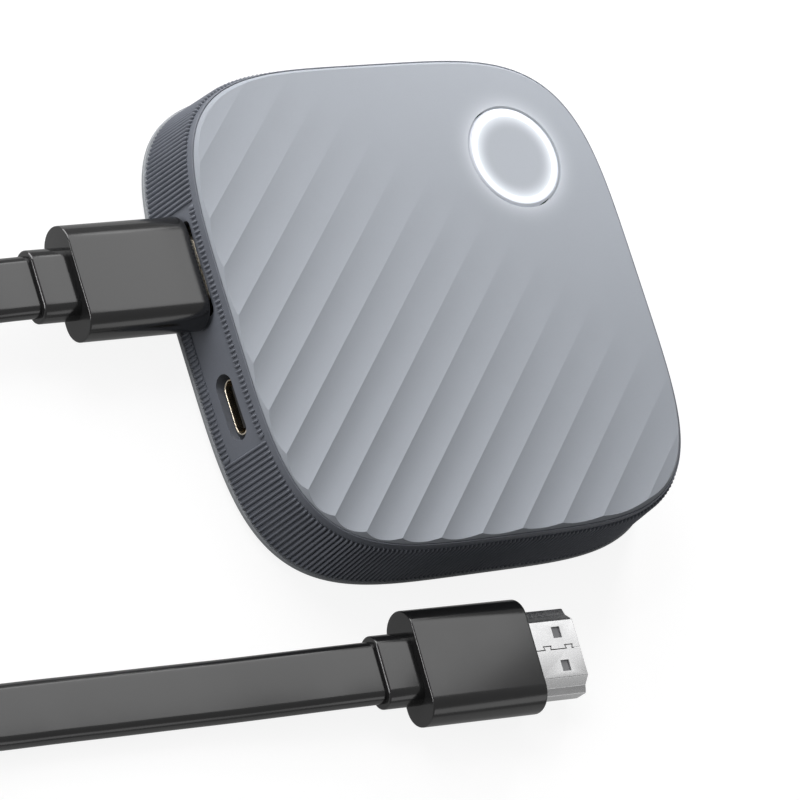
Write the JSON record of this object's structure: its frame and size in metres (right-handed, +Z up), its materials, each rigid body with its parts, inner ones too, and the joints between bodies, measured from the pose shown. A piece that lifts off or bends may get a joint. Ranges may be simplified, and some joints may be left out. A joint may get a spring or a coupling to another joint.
{
  "type": "wireless hdmi display adapter",
  "caption": "Square rounded wireless display adapter with a fluted top, ribbed side wall and lit button, and a short flat display lead with a plug at each end.",
  "frame": {"origin": "on the surface it stands on, under the middle of the square body", "axes": "+Z up; -X out of the port wall; the button is near the +X +Y corner"},
  "size_m": [0.2324, 0.1063, 0.0144],
  "materials": {
    "cover_plastic": "satin pale grey",
    "frame_plastic": "satin charcoal",
    "base_plastic": "satin mid grey",
    "foot_rubber": "dull",
    "light_ring": "milky, lit from inside",
    "light_pipe": "milky",
    "screw_steel": "plain",
    "socket_steel": "bright",
    "plug_steel": "bright nickel",
    "contact_metal": "bright",
    "socket_plastic": "plain",
    "board": "solder mask",
    "chip": "plain",
    "ceramic": "plain",
    "pad": "soft",
    "spreader": "plain",
    "lead_plastic": "satin black"
  },
  "bodies": {
    "housing": {"bottom_cover": "base_plastic", "rubber_feet": "foot_rubber", "case_screws": "screw_steel", "side_frame": "frame_plastic", "top_cover": "cover_plastic", "tact_switch": "screw_steel", "light_guide": "light_pipe", "status_leds": "light_ring", "main_board": "board", "hdmi_socket_shell": "socket_steel", "hdmi_socket_tongue": "socket_plastic", "hdmi_socket_pins": "contact_metal", "usb_socket_shell": "socket_steel", "usb_socket_tongue": "socket_plastic", "usb_socket_pins": "contact_metal", "processor": "chip", "shield_can": "screw_steel", "thermal_pads": "pad", "heat_spreader": "spreader", "memory_chips": "chip", "wireless_module": "screw_steel", "power_inductors": "chip", "board_capacitors": "ceramic", "antennas": "board"},
    "button": {"button_light_ring": "light_ring", "button_cap": "cover_plastic", "switch_plunger": "chip"},
    "display_lead": {"plug_grip": "lead_plastic", "plug_shell": "plug_steel", "plug_insert": "socket_plastic", "plug_collar": "lead_plastic", "lead_cable": "lead_plastic", "far_plug_collar": "lead_plastic", "far_plug_grip": "lead_plastic", "far_plug_shell": "plug_steel", "far_plug_insert": "socket_plastic"}
  },
  "joints": [
    {"name": "button_press", "type": "slide", "parent": "housing", "child": "button", "axis": [0, 0, -1], "range_m": [0, 0.00035], "stiffness_N_per_m": 4000, "springref_m": -0.0001},
    {"name": "plug_pull", "type": "slide", "parent": "housing", "child": "display_lead", "axis": [-1, 0, 0], "range_m": [0, 0.012]}
  ]
}
